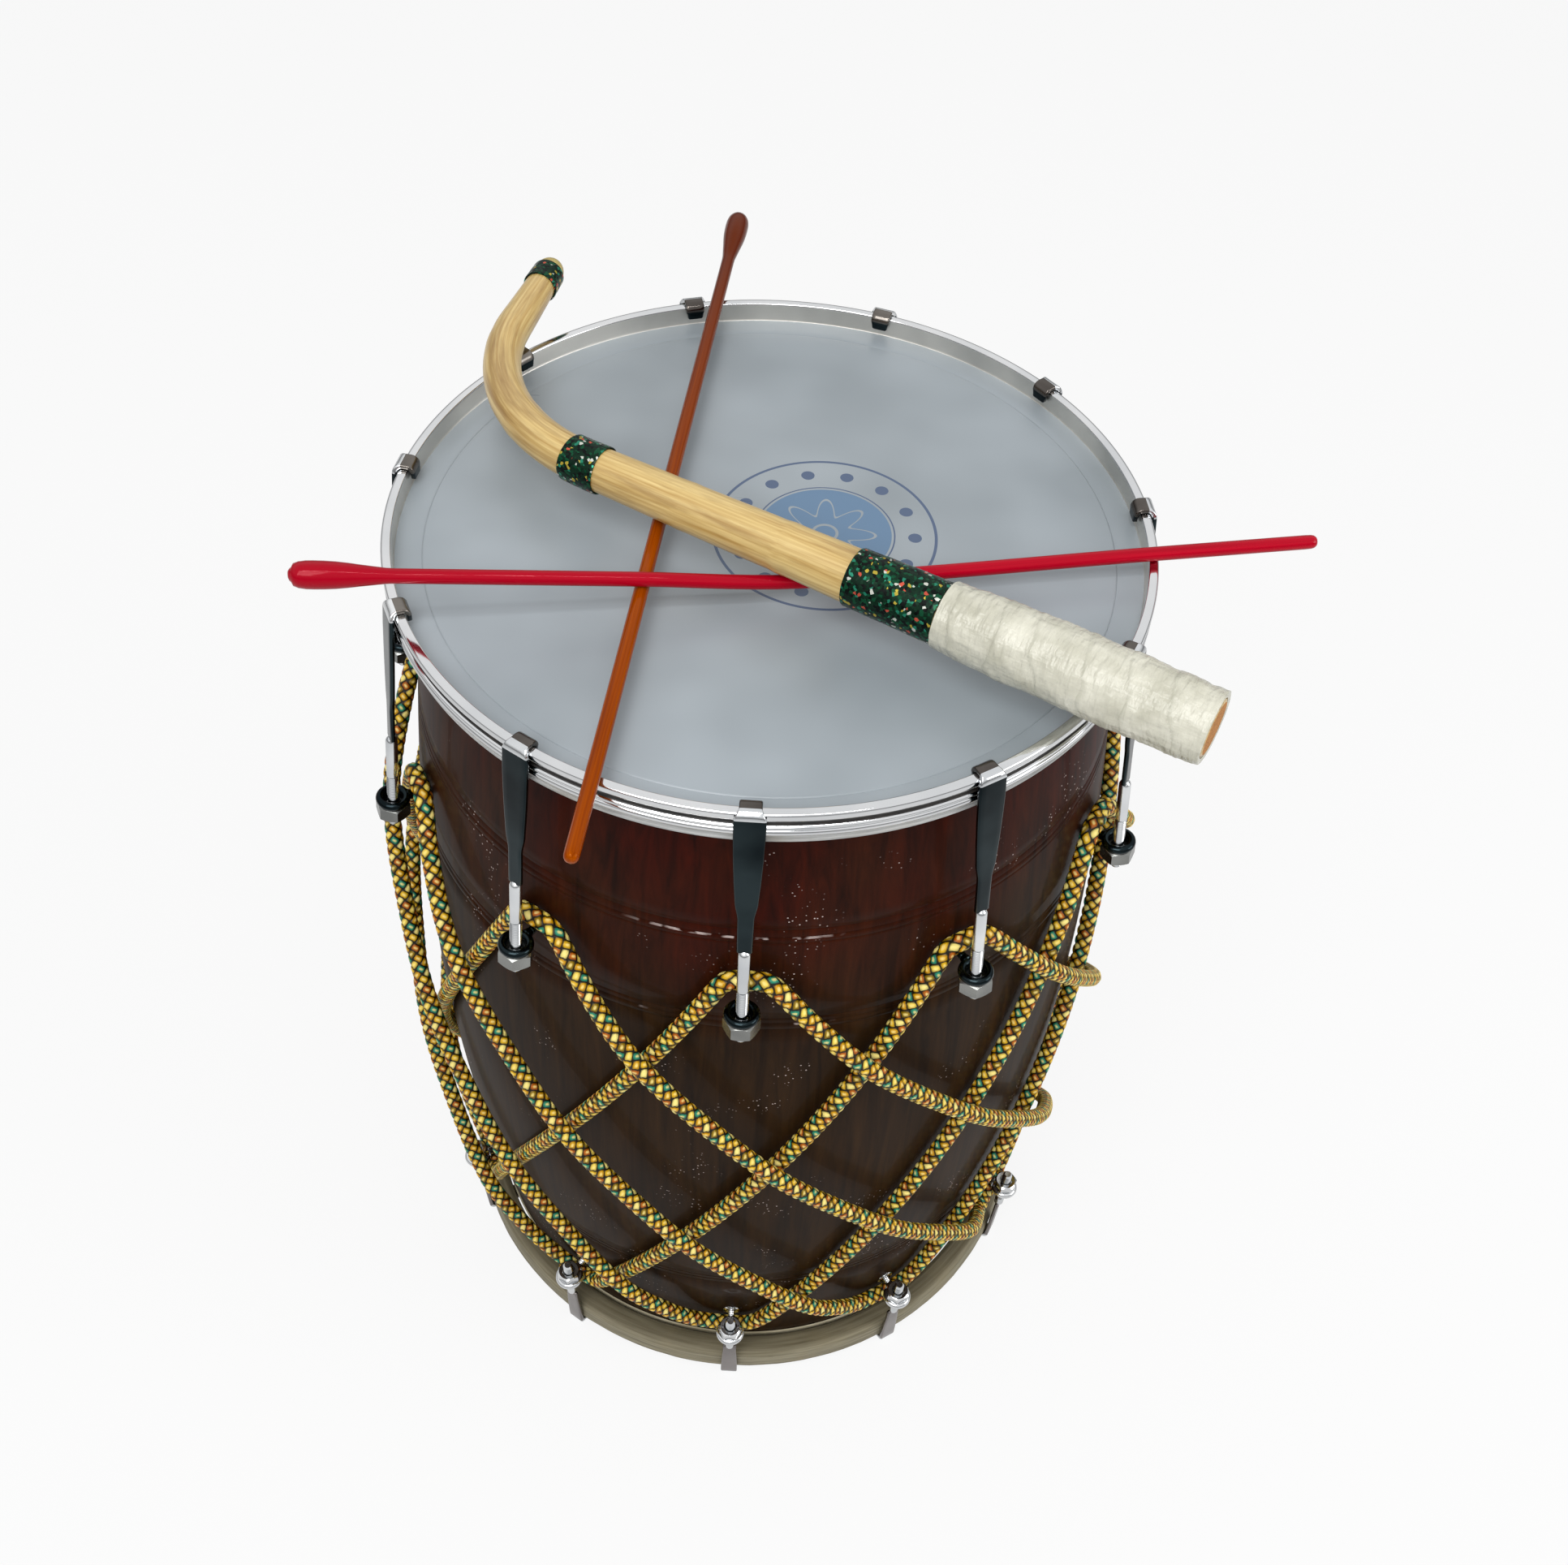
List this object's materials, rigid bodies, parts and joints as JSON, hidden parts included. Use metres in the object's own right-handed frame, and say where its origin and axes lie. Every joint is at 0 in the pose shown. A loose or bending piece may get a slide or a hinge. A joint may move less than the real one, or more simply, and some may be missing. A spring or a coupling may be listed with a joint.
{
  "type": "dhol",
  "caption": "Double-headed barrel drum laced with one rope through eye bolts, its heads pulled up by claw hooks and nuts, with two thin sticks and a bent cane beater on top.",
  "frame": {"origin": "centre of the bass head's outer face", "axes": "+Z along the drum's axis towards the treble head, -Y towards the pictured front, +X to the right of it"},
  "size_m": [0.4781, 0.4839, 0.5978],
  "materials": {
    "lacquered_wood": "high-gloss dark red-brown lacquer",
    "film": "milky translucent drum film",
    "pale_hoop": "satin",
    "chrome": "bright plated",
    "dark_chrome": "bright plated, reflecting a dark room",
    "skin": "raw hide",
    "skin_hoop": "raw hide rolled round a wooden hoop",
    "rope": "braided cord, gold with green, white and orange flecks",
    "brown_plastic": "glossy",
    "red_plastic": "glossy",
    "cane": "varnished cane",
    "tape": "wound tape, slightly shiny",
    "glitter": "green glitter tape"
  },
  "bodies": {
    "drum": {"shell": "lacquered_wood", "treble_head_film": "film", "treble_flesh_hoop": "pale_hoop", "treble_counter_hoop": "chrome", "bass_head_skin": "skin", "bass_flesh_hoop": "skin_hoop", "lacing_rope": "rope"},
    "treble_hook_01": {"treble_hook_01": "dark_chrome"},
    "treble_nut_01": {"treble_nut_01": "chrome"},
    "treble_hook_02": {"treble_hook_02": "dark_chrome"},
    "treble_nut_02": {"treble_nut_02": "chrome"},
    "treble_hook_03": {"treble_hook_03": "dark_chrome"},
    "treble_nut_03": {"treble_nut_03": "chrome"},
    "treble_hook_04": {"treble_hook_04": "dark_chrome"},
    "treble_nut_04": {"treble_nut_04": "chrome"},
    "treble_hook_05": {"treble_hook_05": "dark_chrome"},
    "treble_nut_05": {"treble_nut_05": "chrome"},
    "treble_hook_06": {"treble_hook_06": "dark_chrome"},
    "treble_nut_06": {"treble_nut_06": "chrome"},
    "treble_hook_07": {"treble_hook_07": "dark_chrome"},
    "treble_nut_07": {"treble_nut_07": "chrome"},
    "treble_hook_08": {"treble_hook_08": "dark_chrome"},
    "treble_nut_08": {"treble_nut_08": "chrome"},
    "treble_hook_09": {"treble_hook_09": "dark_chrome"},
    "treble_nut_09": {"treble_nut_09": "chrome"},
    "treble_hook_10": {"treble_hook_10": "dark_chrome"},
    "treble_nut_10": {"treble_nut_10": "chrome"},
    "treble_hook_11": {"treble_hook_11": "dark_chrome"},
    "treble_nut_11": {"treble_nut_11": "chrome"},
    "bass_hook_01": {"bass_hook_01": "dark_chrome"},
    "bass_nut_01": {"bass_nut_01": "chrome"},
    "bass_hook_02": {"bass_hook_02": "dark_chrome"},
    "bass_nut_02": {"bass_nut_02": "chrome"},
    "bass_hook_03": {"bass_hook_03": "dark_chrome"},
    "bass_nut_03": {"bass_nut_03": "chrome"},
    "bass_hook_04": {"bass_hook_04": "dark_chrome"},
    "bass_nut_04": {"bass_nut_04": "chrome"},
    "bass_hook_05": {"bass_hook_05": "dark_chrome"},
    "bass_nut_05": {"bass_nut_05": "chrome"},
    "bass_hook_06": {"bass_hook_06": "dark_chrome"},
    "bass_nut_06": {"bass_nut_06": "chrome"},
    "bass_hook_07": {"bass_hook_07": "dark_chrome"},
    "bass_nut_07": {"bass_nut_07": "chrome"},
    "bass_hook_08": {"bass_hook_08": "dark_chrome"},
    "bass_nut_08": {"bass_nut_08": "chrome"},
    "bass_hook_09": {"bass_hook_09": "dark_chrome"},
    "bass_nut_09": {"bass_nut_09": "chrome"},
    "bass_hook_10": {"bass_hook_10": "dark_chrome"},
    "bass_nut_10": {"bass_nut_10": "chrome"},
    "bass_hook_11": {"bass_hook_11": "dark_chrome"},
    "bass_nut_11": {"bass_nut_11": "chrome"},
    "tihli_brown": {"tihli_brown": "brown_plastic"},
    "tihli_red": {"tihli_red": "red_plastic"},
    "dagga": {"dagga_cane": "cane", "dagga_grip_tape": "tape", "dagga_grip_band": "glitter", "dagga_middle_band": "glitter", "dagga_tip_band": "glitter"}
  },
  "joints": [
    {"name": "treble_nut_01_turn", "type": "hinge", "parent": "drum", "child": "treble_nut_01", "pos_m": [0, -0.20305, 0.4286], "axis": [0, -0.1067, -0.9943], "range_deg": [0, 2160]},
    {"name": "treble_hook_01_slide", "type": "slide", "parent": "drum", "child": "treble_hook_01", "axis": [0, 0.1067, 0.9943], "range_m": [0, 0.006]},
    {"name": "treble_nut_02_turn", "type": "hinge", "parent": "drum", "child": "treble_nut_02", "pos_m": [0.10978, -0.17082, 0.4286], "axis": [0.0577, -0.0898, -0.9943], "range_deg": [0, 2160]},
    {"name": "treble_hook_02_slide", "type": "slide", "parent": "drum", "child": "treble_hook_02", "axis": [-0.0577, 0.0898, 0.9943], "range_m": [0, 0.006]},
    {"name": "treble_nut_03_turn", "type": "hinge", "parent": "drum", "child": "treble_nut_03", "pos_m": [0.1847, -0.08435, 0.4286], "axis": [0.0971, -0.0443, -0.9943], "range_deg": [0, 2160]},
    {"name": "treble_hook_03_slide", "type": "slide", "parent": "drum", "child": "treble_hook_03", "axis": [-0.0971, 0.0443, 0.9943], "range_m": [0, 0.006]},
    {"name": "treble_nut_04_turn", "type": "hinge", "parent": "drum", "child": "treble_nut_04", "pos_m": [0.20098, 0.0289, 0.4286], "axis": [0.1056, 0.0152, -0.9943], "range_deg": [0, 2160]},
    {"name": "treble_hook_04_slide", "type": "slide", "parent": "drum", "child": "treble_hook_04", "axis": [-0.1056, -0.0152, 0.9943], "range_m": [0, 0.006]},
    {"name": "treble_nut_05_turn", "type": "hinge", "parent": "drum", "child": "treble_nut_05", "pos_m": [0.15346, 0.13297, 0.4286], "axis": [0.0806, 0.0699, -0.9943], "range_deg": [0, 2160]},
    {"name": "treble_hook_05_slide", "type": "slide", "parent": "drum", "child": "treble_hook_05", "axis": [-0.0806, -0.0699, 0.9943], "range_m": [0, 0.006]},
    {"name": "treble_nut_06_turn", "type": "hinge", "parent": "drum", "child": "treble_nut_06", "pos_m": [0.05721, 0.19482, 0.4286], "axis": [0.0301, 0.1024, -0.9943], "range_deg": [0, 2160]},
    {"name": "treble_hook_06_slide", "type": "slide", "parent": "drum", "child": "treble_hook_06", "axis": [-0.0301, -0.1024, 0.9943], "range_m": [0, 0.006]},
    {"name": "treble_nut_07_turn", "type": "hinge", "parent": "drum", "child": "treble_nut_07", "pos_m": [-0.05721, 0.19482, 0.4286], "axis": [-0.0301, 0.1024, -0.9943], "range_deg": [0, 2160]},
    {"name": "treble_hook_07_slide", "type": "slide", "parent": "drum", "child": "treble_hook_07", "axis": [0.0301, -0.1024, 0.9943], "range_m": [0, 0.006]},
    {"name": "treble_nut_08_turn", "type": "hinge", "parent": "drum", "child": "treble_nut_08", "pos_m": [-0.15346, 0.13297, 0.4286], "axis": [-0.0806, 0.0699, -0.9943], "range_deg": [0, 2160]},
    {"name": "treble_hook_08_slide", "type": "slide", "parent": "drum", "child": "treble_hook_08", "axis": [0.0806, -0.0699, 0.9943], "range_m": [0, 0.006]},
    {"name": "treble_nut_09_turn", "type": "hinge", "parent": "drum", "child": "treble_nut_09", "pos_m": [-0.20098, 0.0289, 0.4286], "axis": [-0.1056, 0.0152, -0.9943], "range_deg": [0, 2160]},
    {"name": "treble_hook_09_slide", "type": "slide", "parent": "drum", "child": "treble_hook_09", "axis": [0.1056, -0.0152, 0.9943], "range_m": [0, 0.006]},
    {"name": "treble_nut_10_turn", "type": "hinge", "parent": "drum", "child": "treble_nut_10", "pos_m": [-0.1847, -0.08435, 0.4286], "axis": [-0.0971, -0.0443, -0.9943], "range_deg": [0, 2160]},
    {"name": "treble_hook_10_slide", "type": "slide", "parent": "drum", "child": "treble_hook_10", "axis": [0.0971, 0.0443, 0.9943], "range_m": [0, 0.006]},
    {"name": "treble_nut_11_turn", "type": "hinge", "parent": "drum", "child": "treble_nut_11", "pos_m": [-0.10978, -0.17082, 0.4286], "axis": [-0.0577, -0.0898, -0.9943], "range_deg": [0, 2160]},
    {"name": "treble_hook_11_slide", "type": "slide", "parent": "drum", "child": "treble_hook_11", "axis": [0.0577, 0.0898, 0.9943], "range_m": [0, 0.006]},
    {"name": "bass_nut_01_turn", "type": "hinge", "parent": "drum", "child": "bass_nut_01", "pos_m": [0, -0.19223, 0.06], "axis": [0, -0.0419, 0.9991], "range_deg": [0, 2160]},
    {"name": "bass_hook_01_slide", "type": "slide", "parent": "drum", "child": "bass_hook_01", "axis": [0, 0.0419, -0.9991], "range_m": [0, 0.006]},
    {"name": "bass_nut_02_turn", "type": "hinge", "parent": "drum", "child": "bass_nut_02", "pos_m": [0.10393, -0.16171, 0.06], "axis": [0.0227, -0.0353, 0.9991], "range_deg": [0, 2160]},
    {"name": "bass_hook_02_slide", "type": "slide", "parent": "drum", "child": "bass_hook_02", "axis": [-0.0227, 0.0353, -0.9991], "range_m": [0, 0.006]},
    {"name": "bass_nut_03_turn", "type": "hinge", "parent": "drum", "child": "bass_nut_03", "pos_m": [0.17486, -0.07985, 0.06], "axis": [0.0382, -0.0174, 0.9991], "range_deg": [0, 2160]},
    {"name": "bass_hook_03_slide", "type": "slide", "parent": "drum", "child": "bass_hook_03", "axis": [-0.0382, 0.0174, -0.9991], "range_m": [0, 0.006]},
    {"name": "bass_nut_04_turn", "type": "hinge", "parent": "drum", "child": "bass_nut_04", "pos_m": [0.19027, 0.02736, 0.06], "axis": [0.0415, 0.006, 0.9991], "range_deg": [0, 2160]},
    {"name": "bass_hook_04_slide", "type": "slide", "parent": "drum", "child": "bass_hook_04", "axis": [-0.0415, -0.006, -0.9991], "range_m": [0, 0.006]},
    {"name": "bass_nut_05_turn", "type": "hinge", "parent": "drum", "child": "bass_nut_05", "pos_m": [0.14528, 0.12588, 0.06], "axis": [0.0317, 0.0275, 0.9991], "range_deg": [0, 2160]},
    {"name": "bass_hook_05_slide", "type": "slide", "parent": "drum", "child": "bass_hook_05", "axis": [-0.0317, -0.0275, -0.9991], "range_m": [0, 0.006]},
    {"name": "bass_nut_06_turn", "type": "hinge", "parent": "drum", "child": "bass_nut_06", "pos_m": [0.05416, 0.18444, 0.06], "axis": [0.0118, 0.0402, 0.9991], "range_deg": [0, 2160]},
    {"name": "bass_hook_06_slide", "type": "slide", "parent": "drum", "child": "bass_hook_06", "axis": [-0.0118, -0.0402, -0.9991], "range_m": [0, 0.006]},
    {"name": "bass_nut_07_turn", "type": "hinge", "parent": "drum", "child": "bass_nut_07", "pos_m": [-0.05416, 0.18444, 0.06], "axis": [-0.0118, 0.0402, 0.9991], "range_deg": [0, 2160]},
    {"name": "bass_hook_07_slide", "type": "slide", "parent": "drum", "child": "bass_hook_07", "axis": [0.0118, -0.0402, -0.9991], "range_m": [0, 0.006]},
    {"name": "bass_nut_08_turn", "type": "hinge", "parent": "drum", "child": "bass_nut_08", "pos_m": [-0.14528, 0.12588, 0.06], "axis": [-0.0317, 0.0275, 0.9991], "range_deg": [0, 2160]},
    {"name": "bass_hook_08_slide", "type": "slide", "parent": "drum", "child": "bass_hook_08", "axis": [0.0317, -0.0275, -0.9991], "range_m": [0, 0.006]},
    {"name": "bass_nut_09_turn", "type": "hinge", "parent": "drum", "child": "bass_nut_09", "pos_m": [-0.19027, 0.02736, 0.06], "axis": [-0.0415, 0.006, 0.9991], "range_deg": [0, 2160]},
    {"name": "bass_hook_09_slide", "type": "slide", "parent": "drum", "child": "bass_hook_09", "axis": [0.0415, -0.006, -0.9991], "range_m": [0, 0.006]},
    {"name": "bass_nut_10_turn", "type": "hinge", "parent": "drum", "child": "bass_nut_10", "pos_m": [-0.17486, -0.07985, 0.06], "axis": [-0.0382, -0.0174, 0.9991], "range_deg": [0, 2160]},
    {"name": "bass_hook_10_slide", "type": "slide", "parent": "drum", "child": "bass_hook_10", "axis": [0.0382, 0.0174, -0.9991], "range_m": [0, 0.006]},
    {"name": "bass_nut_11_turn", "type": "hinge", "parent": "drum", "child": "bass_nut_11", "pos_m": [-0.10393, -0.16171, 0.06], "axis": [-0.0227, -0.0353, 0.9991], "range_deg": [0, 2160]},
    {"name": "bass_hook_11_slide", "type": "slide", "parent": "drum", "child": "bass_hook_11", "axis": [0.0227, 0.0353, -0.9991], "range_m": [0, 0.006]},
    {"name": "tihli_brown_lift", "type": "slide", "parent": "drum", "child": "tihli_brown", "axis": [0, 0, 1], "range_m": [0, 0.25]},
    {"name": "tihli_red_lift", "type": "slide", "parent": "tihli_brown", "child": "tihli_red", "axis": [0, 0, 1], "range_m": [0, 0.25]},
    {"name": "dagga_lift", "type": "slide", "parent": "tihli_red", "child": "dagga", "axis": [0, 0, 1], "range_m": [0, 0.25]}
  ],
  "couplings": [
    {"joint": "treble_nut_01_turn", "follows": "treble_hook_01_slide", "rad_per_m": 6283.2},
    {"joint": "treble_nut_02_turn", "follows": "treble_hook_02_slide", "rad_per_m": 6283.2},
    {"joint": "treble_nut_03_turn", "follows": "treble_hook_03_slide", "rad_per_m": 6283.2},
    {"joint": "treble_nut_04_turn", "follows": "treble_hook_04_slide", "rad_per_m": 6283.2},
    {"joint": "treble_nut_05_turn", "follows": "treble_hook_05_slide", "rad_per_m": 6283.2},
    {"joint": "treble_nut_06_turn", "follows": "treble_hook_06_slide", "rad_per_m": 6283.2},
    {"joint": "treble_nut_07_turn", "follows": "treble_hook_07_slide", "rad_per_m": 6283.2},
    {"joint": "treble_nut_08_turn", "follows": "treble_hook_08_slide", "rad_per_m": 6283.2},
    {"joint": "treble_nut_09_turn", "follows": "treble_hook_09_slide", "rad_per_m": 6283.2},
    {"joint": "treble_nut_10_turn", "follows": "treble_hook_10_slide", "rad_per_m": 6283.2},
    {"joint": "treble_nut_11_turn", "follows": "treble_hook_11_slide", "rad_per_m": 6283.2},
    {"joint": "bass_nut_01_turn", "follows": "bass_hook_01_slide", "rad_per_m": 6283.2},
    {"joint": "bass_nut_02_turn", "follows": "bass_hook_02_slide", "rad_per_m": 6283.2},
    {"joint": "bass_nut_03_turn", "follows": "bass_hook_03_slide", "rad_per_m": 6283.2},
    {"joint": "bass_nut_04_turn", "follows": "bass_hook_04_slide", "rad_per_m": 6283.2},
    {"joint": "bass_nut_05_turn", "follows": "bass_hook_05_slide", "rad_per_m": 6283.2},
    {"joint": "bass_nut_06_turn", "follows": "bass_hook_06_slide", "rad_per_m": 6283.2},
    {"joint": "bass_nut_07_turn", "follows": "bass_hook_07_slide", "rad_per_m": 6283.2},
    {"joint": "bass_nut_08_turn", "follows": "bass_hook_08_slide", "rad_per_m": 6283.2},
    {"joint": "bass_nut_09_turn", "follows": "bass_hook_09_slide", "rad_per_m": 6283.2},
    {"joint": "bass_nut_10_turn", "follows": "bass_hook_10_slide", "rad_per_m": 6283.2},
    {"joint": "bass_nut_11_turn", "follows": "bass_hook_11_slide", "rad_per_m": 6283.2}
  ]
}
